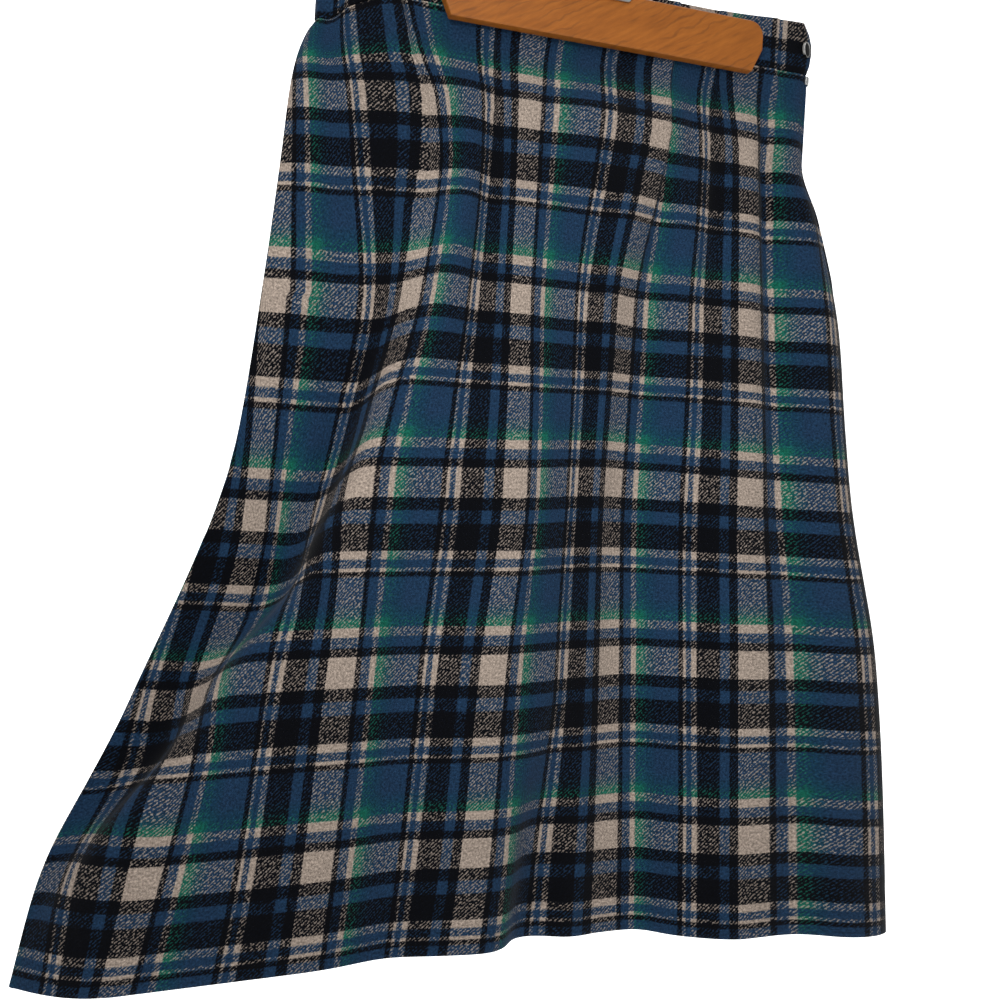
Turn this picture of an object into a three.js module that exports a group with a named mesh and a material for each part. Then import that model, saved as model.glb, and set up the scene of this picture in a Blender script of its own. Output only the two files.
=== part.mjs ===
// A-line wool tartan skirt held by its waistband in a wooden clamp hanger.
// Millimetres, +Z up, the front faces -Y. The origin is the point where the
// hanger's hook rests on a rail, so the whole part hangs below it.

import * as THREE from 'three';

// ---------------------------------------------------------------- sizes

const clothWall = 1.8;            // wool flannel with its nap
const bandWall = 3;               // waistband: two layers and interfacing
const seamGap = 0.3;              // between sewn pieces
const waistSeamHeight = -106;     // height of the waist seam below the hook's rest
const bandHeight = 40;
const hemLength = 713;            // cloth from waist seam to hem
const sectionStep = 34;           // spacing of the wall's rings down the skirt
const hangShare = 0.996;          // height that a length of hanging cloth takes
const foldOpening = 160;          // cloth over which a long fold opens to its full height
const droopFrom = -180;           // place in the cloth where the left end starts to sink
const droopRun = 70;
const seamReach = 170;            // how far a side seam's sag reaches into the back
const tuckedShare = 0.08;         // width that cloth inside a tuck still takes
const steepShare = 0.03;          // least share of width that steep cloth takes
const overlap = 28;               // of the waistband over its underlap

const barLength = 274;
const barHeight = 41;
const barThickness = 10;
const barTop = -73.5;
const barLowerCut = 8.5;          // how far the lower corners are cut in
const barShoulder = 0.45;         // height, as a share, where the upper corners start to round
const barCorner = 12;
const barBevel = 1.2;
const clampRecess = 5;            // inner face of each bar from the middle plane

const hookRadius = 20;            // inside of the hook
const hookWire = 3.8;             // wire diameter
const yokeWidth = 34;
const yokeSheet = 1.6;
const yokeTop = -58;
const yokeBend = 3;
const yokeLeg = 6;                // how far the saddle reaches down each bar
const hookTurn = 285;             // degrees

const buttonWidth = 12.5;
const buttonThickness = 3;
const zipLength = 168;
const zipHalfWidth = 1.9;
const zipThickness = 1.8;
const zipStopRun = 10;            // cloth over which the seam closes below the zip

// ---------------------------------------------------------------- cloth tables

// Places of lengthwise threads in the front's cloth, across from its middle.
const threads = { B: -166, C: -40, D: 86, E: 212 };
const threadP = -218;             // in the steep side of the diagonal fold
const threadA = -292;
const threadAFrom = 214;
const threadF = 338;

// Where those threads hang, across from the hook, with the two side seams.
// down is the cloth's length below the waist seam.
const acrossRows = [
  { down: 0, left: -228, A: -228, P: -207, B: -166, C: -56, D: 56, E: 125, right: 186 },
  { down: 14, left: -234, A: -234, P: -206, B: -162, C: -58, D: 54, E: 126, right: 187 },
  { down: 40, left: -240, A: -240, P: -203, B: -155, C: -61, D: 51, E: 127, right: 187 },
  { down: 74, left: -244, A: -248, P: -197, B: -142, C: -64, D: 47, E: 129, right: 187 },
  { down: 120, left: -247, A: -249, P: -190, B: -137, C: -65, D: 38, E: 131, right: 206 },
  { down: 214, left: -255, A: -249, P: -176, B: -147, C: -65, D: 22, E: 135, right: 234 },
  { down: 300, left: -265, A: -249, P: -190, B: -170, C: -63, D: 22, E: 136, right: 246 },
  { down: 354, left: -279, A: -249, P: -203, B: -183, C: -63, D: 22, E: 136, right: 254 },
  { down: 494, left: -332, A: -284, P: -235, B: -190, C: -76, D: 29, E: 141, right: 285 },
  { down: 634, left: -385, A: -316, P: -248, B: -199, C: -83, D: 36, E: 147, right: 302 },
  { down: 713, left: -400, A: -333, P: -258, B: -205, C: -90, D: 40, E: 151, right: 310 },
];

// The front's cut: cloth from its middle thread to each side seam.
const frontCut = [
  { down: 0, left: -268, right: 266 },
  { down: 14, left: -271, right: 268 },
  { down: 74, left: -284, right: 276 },
  { down: 214, left: -302, right: 310 },
  { down: 354, left: -330, right: 320 },
  { down: 494, left: -358, right: 328 },
  { down: 634, left: -374, right: 333 },
  { down: 713, left: -382, right: 335 },
];

// How far the front stands forward of the middle plane along each thread.
const frontDepth = [
  { down: 0, A: 3, B: 3, C: 3, D: 3, E: 3, F: 11 },
  { down: 14, A: 3, B: 3, C: 3, D: 3, E: 3, F: 12 },
  { down: 74, A: 8, B: 12, C: 20, D: 22, E: 14, F: 12 },
  { down: 214, A: 18, B: 26, C: 31, D: 25, E: 24, F: 24 },
  { down: 354, A: 34, B: 43, C: 43, D: 21, E: 38, F: 34 },
  { down: 494, A: 46, B: 53, C: 53, D: 19, E: 48, F: 44 },
  { down: 634, A: 44, B: 58, C: 58, D: 20, E: 54, F: 50 },
  { down: 713, A: 42, B: 60, C: 60, D: 19, E: 57, F: 50 },
];

// How much lower than its length the front hangs along each thread.
const frontSag = [
  { down: 0, A: 0, B: -3, C: 0, D: 0, E: 0, F: 0 },
  { down: 14, A: 0, B: -4, C: 0, D: 0, E: 0, F: 0 },
  { down: 74, A: 0, B: -5, C: 1, D: 1, E: 1, F: 0 },
  { down: 214, A: 8, B: 3, C: 6, D: 5, E: 3, F: 0 },
  { down: 354, A: 20, B: 13, C: 7, D: 1, E: 2, F: 2 },
  { down: 494, A: 20, B: 11, C: 7, D: 3, E: 1, F: 6 },
  { down: 634, A: 20, B: 8, C: 2, D: 2, E: 0, F: 15 },
  { down: 713, A: 20, B: 4, C: -2, D: 2, E: 0, F: 18 },
];

// The great diagonal fold: the cloth left of it lies back and lower.
// at and width are the fold's place in the cloth, depth and sag those of its left
// side, droop is how much the left end of the waist sinks, and side is how far
// the left seam stands behind the middle plane.
const diagonalFold = [
  { down: 0, at: -165, width: 50, depth: 7, sag: 0, droop: 26, side: 0 },
  { down: 14, at: -165, width: 50, depth: 8, sag: 0, droop: 22, side: 0 },
  { down: 74, at: -140, width: 70, depth: 12, sag: 0, droop: 8, side: 0 },
  { down: 214, at: -165, width: 80, depth: 4, sag: 14, droop: 4, side: -4 },
  { down: 354, at: -200, width: 88, depth: -12, sag: 43, droop: 0, side: -16 },
  { down: 494, at: -284, width: 88, depth: -4, sag: 46, droop: 0, side: -12 },
  { down: 634, at: -372, width: 88, depth: 8, sag: 33, droop: 0, side: 2 },
  { down: 713, at: -420, width: 88, depth: 12, sag: 30, droop: 0, side: 14 },
];

// Smaller folds of the front: a forward ridge is positive, a trough negative.
const frontFolds = [
  { name: 'waist hump', top: 22, bottom: 30, from: 22, to: 150, height: 6, width: 34 },
  { name: 'left trough', top: -78, bottom: -92, from: 14, to: 320, height: -10, width: 22 },
  { name: 'tuck ridge', top: 72, bottom: 58, from: 14, to: 713, height: 6, width: 20 },
  { name: 'tuck trough', top: 112, bottom: 118, from: 20, to: 713, height: -6, width: 20 },
  { name: 'dart trough', top: 172, bottom: 176, from: 14, to: 240, height: -5, width: 16 },
  { name: 'side trough', top: 244, bottom: 240, from: 30, to: 713, height: -8, width: 22 },
  { name: 'hem flute', top: -112, bottom: -100, from: 330, to: 713, height: -7, width: 34 },
  { name: 'hem dip', top: 20, bottom: 22, from: 500, to: 713, height: -14, width: 30 },
];

// Cloth taken up by tucks and darts: hidden is the width that doesn't show.
const frontTucks = [
  { name: 'left dart', top: -168, bottom: -168, hidden: 20, to: 170 },
  { name: 'middle dart', top: -78, bottom: -80, hidden: 15, to: 150 },
  { name: 'long tuck', top: 108, bottom: 100, hidden: 27, to: 190 },
  { name: 'right dart', top: 176, bottom: 178, hidden: 18, to: 60 },
];

// The back: its cut, and how far it stands behind the middle plane.
const backRows = [
  { down: 0, halfWidth: 214, depth: 3, side: 0 },
  { down: 14, halfWidth: 218, depth: 3, side: 0 },
  { down: 74, halfWidth: 248, depth: 12, side: 0 },
  { down: 214, halfWidth: 290, depth: 24, side: 4 },
  { down: 354, halfWidth: 318, depth: 33, side: 16 },
  { down: 494, halfWidth: 340, depth: 41, side: 12 },
  { down: 634, halfWidth: 352, depth: 46, side: -2 },
  { down: 713, halfWidth: 357, depth: 48, side: -14 },
];
const backFolds = [
  { name: 'left flute', top: -120, bottom: -168, from: 60, to: 713, height: -13, width: 34 },
  { name: 'left ridge', top: -60, bottom: -72, from: 120, to: 713, height: 8, width: 38 },
  { name: 'middle trough', top: 10, bottom: 22, from: 200, to: 713, height: -10, width: 36 },
  { name: 'right ridge', top: 88, bottom: 116, from: 90, to: 713, height: 9, width: 40 },
  { name: 'right flute', top: 150, bottom: 214, from: 60, to: 713, height: -12, width: 32 },
];
const backTucks = [
  { name: 'left back dart', top: -84, bottom: -84, hidden: 16, to: 110 },
  { name: 'right back dart', top: 84, bottom: 84, hidden: 16, to: 110 },
];

// Length of cloth over which each panel turns into its side seam.
const sideTurn = [
  { down: 0, turn: 9 },
  { down: 14, turn: 12 },
  { down: 74, turn: 26 },
  { down: 214, turn: 44 },
  { down: 354, turn: 58 },
  { down: 494, turn: 70 },
  { down: 634, turn: 78 },
  { down: 713, turn: 80 },
];

// ---------------------------------------------------------------- curves

const clamp01 = (t) => Math.min(1, Math.max(0, t));
const smooth = (t) => clamp01(t) ** 2 * (3 - 2 * clamp01(t));
const mix = (a, b, t) => a + (b - a) * t;
const bell = (t) => Math.exp(-t * t);

// A smooth curve through points that never overshoots them.
function curveThrough(xs, ys) {
  const steps = xs.slice(1).map((x, i) => (ys[i + 1] - ys[i]) / (x - xs[i]));
  const slopes = xs.map((_, i) => {
    if (i === 0 || i === xs.length - 1) return steps[i === 0 ? 0 : i - 1];
    const [before, after] = [steps[i - 1], steps[i]];
    return before * after <= 0 ? 0 : (2 * before * after) / (before + after);
  });
  return (x) => {
    if (x <= xs[0]) return ys[0] + slopes[0] * (x - xs[0]);
    const last = xs.length - 1;
    if (x >= xs[last]) return ys[last] + slopes[last] * (x - xs[last]);
    let i = 0;
    while (x > xs[i + 1]) i += 1;
    const h = xs[i + 1] - xs[i];
    const t = (x - xs[i]) / h;
    const rise = t * t * (3 - 2 * t);
    return mix(ys[i], ys[i + 1], rise)
      + h * t * (1 - t) * ((1 - t) * slopes[i] - t * slopes[i + 1]);
  };
}

const column = (rows, key) => curveThrough(rows.map((r) => r.down), rows.map((r) => r[key]));
const allThreads = { A: threadA, ...threads, F: threadF };

// A value over the whole panel from a table with one column for each thread.
function field(rows) {
  const keys = Object.keys(allThreads);
  const columns = keys.map((key) => column(rows, key));
  const places = keys.map((key) => allThreads[key]);
  return (across, down) => curveThrough(places, columns.map((c) => c(down)))(across);
}

function foldHeight(folds, across, down) {
  return folds.reduce((sum, fold) => {
    const run = fold.to - fold.from;
    const t = clamp01((down - fold.from) / run);
    const open = fold.to >= hemLength
      ? smooth((down - fold.from) / foldOpening)
      : Math.sin(Math.PI * t);
    return sum + fold.height * open * bell((across - mix(fold.top, fold.bottom, t)) / fold.width);
  }, 0);
}

// Share of the cloth that shows at a place: less than 1 inside a tuck or dart.
function shownShare(tucks, across, down) {
  return tucks.reduce((share, tuck) => {
    const hidden = tuck.hidden * (1 - smooth(down / tuck.to));
    const middle = mix(tuck.top, tuck.bottom, clamp01(down / tuck.to));
    return Math.abs(across - middle) < hidden / 2 ? tuckedShare : share;
  }, 1);
}

const turnLength = column(sideTurn, 'turn');
const turnIn = (edgeDistance, down) => Math.sin((Math.PI / 2) * clamp01(edgeDistance / turnLength(down)));

// ---------------------------------------------------------------- panels

const leftCut = column(frontCut, 'left');
const rightCut = column(frontCut, 'right');
const leftSeamAcross = column(acrossRows, 'left');
const rightSeamAcross = column(acrossRows, 'right');
const sideDepth = column(diagonalFold, 'side');
const foldPlace = column(diagonalFold, 'at');
const foldWidth = column(diagonalFold, 'width');
const foldDepth = column(diagonalFold, 'depth');
const foldSag = column(diagonalFold, 'sag');
const endDroop = column(diagonalFold, 'droop');
const rightDepth = field(frontDepth);
const rightSag = field(frontSag);

const beyondFold = (across, down) => smooth((across - foldPlace(down)) / foldWidth(down) + 0.5);

function frontForward(across, down) {
  const open = rightDepth(Math.max(across, threadA), down) + foldHeight(frontFolds, across, down);
  const body = mix(foldDepth(down), open, beyondFold(across, down));
  const fromLeft = turnIn(across - leftCut(down), down);
  const fromRight = turnIn(rightCut(down) - across, down);
  const side = across < 0 ? sideDepth(down) : 0;
  return mix(side, body, Math.min(fromLeft, fromRight));
}

function frontDrop(across, down) {
  const right = rightSag(Math.max(across, threadA), down);
  const droop = endDroop(down) * smooth((droopFrom - across) / droopRun);
  return down * hangShare + mix(foldSag(down), right, beyondFold(across, down)) + droop;
}

// Spreads the cloth between pinned places: steep or tucked cloth takes less room.
function spread(pins, forward, tucks, down) {
  const step = 2;
  const table = [];
  for (let k = 0; k < pins.length - 1; k += 1) {
    const [start, end] = [pins[k], pins[k + 1]];
    const count = Math.max(2, Math.round((end.cloth - start.cloth) / step));
    const sums = [0];
    for (let i = 0; i < count; i += 1) {
      const across = mix(start.cloth, end.cloth, (i + 0.5) / count);
      const slope = (forward(across + 1, down) - forward(across - 1, down)) / 2;
      const room = Math.sqrt(Math.max(steepShare, 1 - slope * slope)) * shownShare(tucks, across, down);
      sums.push(sums[i] + room);
    }
    sums.forEach((sum, i) => table.push({
      cloth: mix(start.cloth, end.cloth, i / count),
      place: mix(start.place, end.place, sum / sums[count]),
    }));
  }
  return (across) => {
    let i = 0;
    while (i < table.length - 2 && table[i + 1].cloth < across) i += 1;
    const [a, b] = [table[i], table[i + 1]];
    return b.cloth === a.cloth ? a.place : mix(a.place, b.place, (across - a.cloth) / (b.cloth - a.cloth));
  };
}

const threadColumns = Object.fromEntries(
  ['A', 'P', ...Object.keys(threads)].map((key) => [key, column(acrossRows, key)]),
);

// Thread A turns under at the left seam near the waist, so it is pinned lower down only.
function frontPins(down) {
  const pins = [{ cloth: leftCut(down), place: leftSeamAcross(down) }];
  if (down > threadAFrom) pins.push({ cloth: threadA, place: threadColumns.A(down) });
  pins.push({ cloth: threadP, place: threadColumns.P(down) });
  Object.entries(threads).forEach(([key, cloth]) => {
    pins.push({ cloth, place: threadColumns[key](down) });
  });
  pins.push({ cloth: rightCut(down), place: rightSeamAcross(down) });
  return pins;
}

const backHalf = column(backRows, 'halfWidth');
const backDepth = column(backRows, 'depth');
const backSide = column(backRows, 'side');

function backBehind(across, down) {
  const body = backDepth(down) + foldHeight(backFolds, across, down);
  const half = backHalf(down);
  const turned = turnIn(half - Math.abs(across), down);
  return mix(across < 0 ? backSide(down) : 0, body, turned);
}

function backDrop(across, down) {
  const half = backHalf(down);
  const plain = down * hangShare;
  const leftExtra = frontDrop(leftCut(down), down) - plain;
  const rightExtra = frontDrop(rightCut(down), down) - plain;
  return plain + leftExtra * (1 - smooth((across + half) / seamReach))
    + rightExtra * (1 - smooth((half - across) / seamReach));
}

const backPins = (down) => [
  { cloth: -backHalf(down), place: leftSeamAcross(down) },
  { cloth: backHalf(down), place: rightSeamAcross(down) },
];

// Places across a panel, closer together where crowd is larger.
function columnsAcross(left, right, crowd, count) {
  const fine = 400;
  const places = Array.from({ length: fine + 1 }, (_, i) => mix(left, right, i / fine));
  const sums = [0];
  for (let i = 0; i < fine; i += 1) sums.push(sums[i] + crowd((places[i] + places[i + 1]) / 2));
  let k = 0;
  return Array.from({ length: count + 1 }, (_, i) => {
    const wanted = (sums[fine] * i) / count;
    while (k < fine - 1 && sums[k + 1] < wanted) k += 1;
    return mix(places[k], places[k + 1], (wanted - sums[k]) / (sums[k + 1] - sums[k]));
  });
}

// More columns near the side seams and along the diagonal fold.
const crowding = { seam: 2.2, seamWidth: 0.4, fold: 1.6, foldWidth: 0.45 };
const nearSeam = (distance, turn) => crowding.seam * Math.exp(-distance / (crowding.seamWidth * turn));
const nearSides = (across, left, right, turn) => (
  nearSeam(across - left, turn) + nearSeam(right - across, turn)
);
const frontCrowd = (down) => (across) => 1
  + nearSides(across, leftCut(down), rightCut(down), turnLength(down))
  + crowding.fold * bell((across - foldPlace(down)) / (crowding.foldWidth * foldWidth(down)));
const backCrowd = (down) => (across) => 1
  + nearSides(across, -backHalf(down), backHalf(down), turnLength(down));

const ringsDown = () => {
  const close = [0, 14, 30, 52];
  const zipEnd = [zipLength + 2, zipLength + 2 + zipStopRun];
  const between = (from, to, count) => Array.from({ length: count }, (_, i) => mix(from, to, (i + 1) / count));
  const start = close[close.length - 1];
  const above = between(start, zipEnd[0], Math.round((zipEnd[0] - start) / sectionStep));
  const below = between(zipEnd[1], hemLength, Math.round((hemLength - zipEnd[1]) / sectionStep));
  return [...close, ...above, zipEnd[1], ...below];
};

// A gap is left at the right side seam for the zip.
const zipOpening = (down) => (zipHalfWidth + seamGap) * (1 - smooth((down - zipLength - 2) / zipStopRun));

function panel({ left, right, forward, drop, pins, tucks, side, crowd, facing, count }) {
  return ringsDown().map((down) => {
    const opening = Math.max(seamGap / 2, zipOpening(down));
    const place = spread(pins(down), forward, tucks, down);
    const acrosses = columnsAcross(left(down), right(down), crowd(down), count);
    return acrosses.map((across, i) => {
      const seam = i < acrosses.length / 2 ? side(down) + seamGap / 2 : opening;
      const point = new THREE.Vector3(
        place(across),
        facing * Math.max(seam, forward(across, down)),
        waistSeamHeight - seamGap / 2 - drop(across, down),
      );
      point.keepTo = { facing, seam };
      return point;
    });
  });
}

// A closed wall of even thickness on a grid of points.
function wall(grid, thickness, flattenEdges) {
  const rows = grid.length;
  const columns = grid[0].length;
  const normal = (i, j) => {
    const alongRow = grid[i][Math.min(j + 1, columns - 1)].clone().sub(grid[i][Math.max(j - 1, 0)]);
    const downColumn = grid[Math.min(i + 1, rows - 1)][j].clone().sub(grid[Math.max(i - 1, 0)][j]);
    const n = alongRow.cross(downColumn);
    if (flattenEdges && (j === 0 || j === columns - 1)) n.y = 0;
    if (i === 0 || i === rows - 1) n.z = 0;
    return n.normalize();
  };
  const points = [];
  [0.5, -0.5].forEach((side) => {
    for (let i = 0; i < rows; i += 1) {
      for (let j = 0; j < columns; j += 1) {
        const { keepTo } = grid[i][j];
        const point = grid[i][j].clone().addScaledVector(normal(i, j), side * thickness);
        if (keepTo) point.y = keepTo.facing * Math.max(keepTo.seam, keepTo.facing * point.y);
        points.push(point);
      }
    }
  });
  const at = (side, i, j) => side * rows * columns + i * columns + j;
  const faces = [];
  const quad = (a, b, c, d) => faces.push(a, b, c, a, c, d);
  for (let i = 0; i < rows - 1; i += 1) {
    for (let j = 0; j < columns - 1; j += 1) {
      quad(at(0, i, j), at(0, i, j + 1), at(0, i + 1, j + 1), at(0, i + 1, j));
      quad(at(1, i, j), at(1, i + 1, j), at(1, i + 1, j + 1), at(1, i, j + 1));
    }
  }
  const [endRow, endColumn] = [rows - 1, columns - 1];
  for (let j = 0; j < endColumn; j += 1) {
    quad(at(0, 0, j), at(1, 0, j), at(1, 0, j + 1), at(0, 0, j + 1));
    quad(at(0, endRow, j), at(0, endRow, j + 1), at(1, endRow, j + 1), at(1, endRow, j));
  }
  for (let i = 0; i < endRow; i += 1) {
    quad(at(0, i, 0), at(0, i + 1, 0), at(1, i + 1, 0), at(1, i, 0));
    quad(at(0, i, endColumn), at(1, i, endColumn), at(1, i + 1, endColumn), at(0, i + 1, endColumn));
  }
  return solidFrom(points, faces);
}

// Builds the geometry and turns it outwards if it came out inside in.
function solidFrom(points, faces) {
  const volume = faces.reduce((sum, _, k) => {
    if (k % 3) return sum;
    const [a, b, c] = [points[faces[k]], points[faces[k + 1]], points[faces[k + 2]]];
    return sum + a.dot(b.clone().cross(c)) / 6;
  }, 0);
  const geometry = new THREE.BufferGeometry();
  geometry.setAttribute('position', new THREE.Float32BufferAttribute(points.flatMap((p) => p.toArray()), 3));
  geometry.setIndex(volume < 0 ? faces.slice().reverse() : faces);
  geometry.computeVertexNormals();
  return geometry;
}

const frontGrid = panel({
  left: leftCut,
  right: rightCut,
  forward: frontForward,
  drop: frontDrop,
  pins: frontPins,
  tucks: frontTucks,
  side: sideDepth,
  crowd: frontCrowd,
  facing: -1,
  count: 54,
});

const backGrid = panel({
  left: (down) => -backHalf(down),
  right: backHalf,
  forward: backBehind,
  drop: backDrop,
  pins: backPins,
  tucks: backTucks,
  side: backSide,
  crowd: backCrowd,
  facing: 1,
  count: 38,
});

// ---------------------------------------------------------------- waistband

// One strip: from its underlap at the right of the back, round the left end,
// along the front and over the underlap again, where it buttons.
function bandPath() {
  const front = frontGrid[0];
  const back = backGrid[0];
  const seamEnd = back[back.length - 1].x;
  const underlap = back.filter((p) => p.x < seamEnd - bandWall - 1).reverse();
  const wrapped = back
    .filter((p) => p.x > seamEnd - overlap)
    .reverse()
    .map((p) => p.clone().setY(p.y + bandWall + seamGap));
  wrapped[0].x += bandWall / 2;
  return [...underlap.slice(0, -1), ...front.slice(0, -1), ...wrapped];
}

const bandPoints = bandPath();
const bandRows = [0, 1].map((t) => bandPoints.map((p, i) => {
  const before = bandPoints[Math.max(i - 1, 0)];
  const steepness = Math.abs(p.z - before.z) / p.distanceTo(bandPoints[i ? i - 1 : 1]);
  const foot = seamGap * (1 + 2 * steepness);
  return new THREE.Vector3(p.x, p.y, p.z + foot + t * (bandHeight - foot));
}));

// ---------------------------------------------------------------- hanger

function barShape() {
  const half = barLength / 2;
  const [low, high] = [-barHeight, 0];
  const shape = new THREE.Shape();
  shape.moveTo(-half + barLowerCut, low);
  shape.lineTo(half - barLowerCut, low);
  shape.lineTo(half, low + barHeight * barShoulder);
  shape.quadraticCurveTo(half, high, half - barCorner, high);
  shape.lineTo(-half + barCorner, high);
  shape.quadraticCurveTo(-half, high, -half, low + barHeight * barShoulder);
  shape.closePath();
  return shape;
}

function hangerBar() {
  const geometry = new THREE.ExtrudeGeometry(barShape(), {
    depth: barThickness - 2 * barBevel,
    bevelThickness: barBevel,
    bevelSize: barBevel,
    bevelOffset: -barBevel,
    bevelSegments: 2,
    curveSegments: 5,
  });
  geometry.translate(0, 0, barBevel);
  geometry.rotateX(Math.PI / 2);
  return geometry;
}

// A sheet-metal saddle over both bars, from which the hook rises.
function yokeShape() {
  const reach = clampRecess + barThickness + seamGap;
  const outer = reach + yokeSheet;
  const underside = yokeTop - yokeSheet;
  const legLow = barTop - yokeLeg;
  const outerBend = yokeBend + yokeSheet / 2;
  const shape = new THREE.Shape();
  shape.moveTo(-outer, legLow);
  shape.lineTo(-reach, legLow);
  shape.lineTo(-reach, underside - yokeBend);
  shape.lineTo(-reach + yokeBend, underside);
  shape.lineTo(reach - yokeBend, underside);
  shape.lineTo(reach, underside - yokeBend);
  shape.lineTo(reach, legLow);
  shape.lineTo(outer, legLow);
  shape.lineTo(outer, yokeTop - outerBend);
  shape.lineTo(outer - outerBend, yokeTop);
  shape.lineTo(-outer + outerBend, yokeTop);
  shape.lineTo(-outer, yokeTop - outerBend);
  shape.closePath();
  return shape;
}

function hangerYoke() {
  const geometry = new THREE.ExtrudeGeometry(yokeShape(), { depth: yokeWidth, bevelEnabled: false });
  geometry.translate(0, 0, -yokeWidth / 2);
  geometry.rotateX(Math.PI / 2);
  geometry.rotateZ(Math.PI / 2);
  return geometry;
}

// The hook: a stem out of the saddle and most of a circle, open at the lower left.
class HookLine extends THREE.Curve {
  getPoint(t, target = new THREE.Vector3()) {
    const wireRadius = hookRadius + hookWire / 2;
    const centre = -hookRadius;
    const stem = centre - wireRadius - (yokeTop + seamGap);
    const arc = wireRadius * THREE.MathUtils.degToRad(hookTurn);
    const distance = t * (stem + arc);
    if (distance < stem) return target.set(0, 0, yokeTop + seamGap + distance);
    const angle = -Math.PI / 2 + (distance - stem) / wireRadius;
    return target.set(wireRadius * Math.cos(angle), 0, centre + wireRadius * Math.sin(angle));
  }
}

function hangerHook() {
  const section = new THREE.Shape();
  section.absarc(0, 0, hookWire / 2, 0, Math.PI * 2);
  return new THREE.ExtrudeGeometry(section, {
    steps: 34,
    curveSegments: 4,
    bevelEnabled: false,
    extrudePath: new HookLine(),
  });
}

// ---------------------------------------------------------------- button and zip

function buttonBody() {
  const r = buttonWidth / 2;
  const profile = [
    [0, 0], [r - 0.6, 0], [r, 0.6], [r, buttonThickness - 0.7], [r - 0.6, buttonThickness],
    [r - 1.5, buttonThickness], [r - 2, buttonThickness - 0.8], [0, buttonThickness - 0.8],
  ].map(([radius, height]) => new THREE.Vector2(radius, height));
  const geometry = new THREE.LatheGeometry(profile, 18);
  geometry.rotateX(Math.PI);
  return geometry;
}

const seamPoint = (down) => new THREE.Vector3(
  rightSeamAcross(down),
  0,
  waistSeamHeight - frontDrop(rightCut(down), down),
);

function zipChain() {
  const rows = Array.from({ length: 13 }, (_, i) => {
    const p = seamPoint(mix(1, zipLength, i / 12));
    return [-zipHalfWidth, zipHalfWidth].map((y) => new THREE.Vector3(p.x, y, p.z));
  });
  return wall(rows, zipThickness, true);
}

function zipSlider() {
  const outline = new THREE.Shape();
  outline.moveTo(-2.4, 0);
  outline.lineTo(2.4, 0);
  outline.lineTo(3.2, 5);
  outline.lineTo(2, 9);
  outline.lineTo(-2, 9);
  outline.lineTo(-3.2, 5);
  outline.closePath();
  const geometry = new THREE.ExtrudeGeometry(outline, { depth: 1.8, bevelEnabled: false });
  geometry.rotateX(Math.PI / 2);
  geometry.rotateZ(Math.PI / 2);
  return geometry;
}

// ---------------------------------------------------------------- assembly

const finish = (color, roughness, metalness = 0) => new THREE.MeshStandardMaterial({
  color, roughness, metalness, side: THREE.FrontSide,
});
const tartan = finish(0x2b4566, 0.95);
const wood = finish(0xb87335, 0.45);
const steel = finish(0xb8babd, 0.3, 1);
const horn = finish(0x15130f, 0.35);

const skirt = new THREE.Group();
function add(name, geometry, material, place = [0, 0, 0]) {
  const mesh = new THREE.Mesh(geometry, material);
  mesh.name = name;
  mesh.position.set(...place);
  skirt.add(mesh);
  return mesh;
}

add('front_panel', wall(frontGrid, clothWall, true), tartan);
add('back_panel', wall(backGrid, clothWall, true), tartan);
add('waistband', wall(bandRows, bandWall, false), tartan);
add('side_zip', zipChain(), steel);

const sliderSeat = seamPoint(4);
add('zip_slider', zipSlider(), steel, [
  sliderSeat.x + zipThickness / 2 + 2.5 * seamGap,
  0,
  sliderSeat.z - 9,
]);

// The button lies flat on the band's front, close to where the band turns the side.
const buttonAcross = rightSeamAcross(0) - 6;
const afterButton = frontGrid[0].findIndex((p) => p.x > buttonAcross);
const [bandHere, bandNext] = [frontGrid[0][afterButton - 1], frontGrid[0][afterButton]];
const bandTurn = Math.atan2(bandNext.y - bandHere.y, bandNext.x - bandHere.x);
const outFromBand = new THREE.Vector3(Math.sin(bandTurn), -Math.cos(bandTurn), 0);
const button = add('waist_button', buttonBody(), horn);
button.position.copy(bandHere)
  .lerp(bandNext, (buttonAcross - bandHere.x) / (bandNext.x - bandHere.x))
  .addScaledVector(outFromBand, bandWall / 2 + 2 * seamGap);
button.position.z = waistSeamHeight + bandHeight / 2;
button.rotation.z = bandTurn;

add('hanger_bar_front', hangerBar(), wood, [0, -clampRecess, barTop]);
add('hanger_bar_back', hangerBar(), wood, [0, clampRecess + barThickness, barTop]);
add('hanger_yoke', hangerYoke(), steel);
add('hanger_hook', hangerHook(), steel);

export default skirt;
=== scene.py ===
# A-line wool tartan skirt, buttoned at the side, in a wooden clamp hanger.
# Cloth sizes are in millimetres of cloth, counted down from the waist seam and
# across from the front's middle thread. Blender gets metres.

import math

import bmesh
import bpy
import numpy as np
from mathutils import Matrix, Vector


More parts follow.
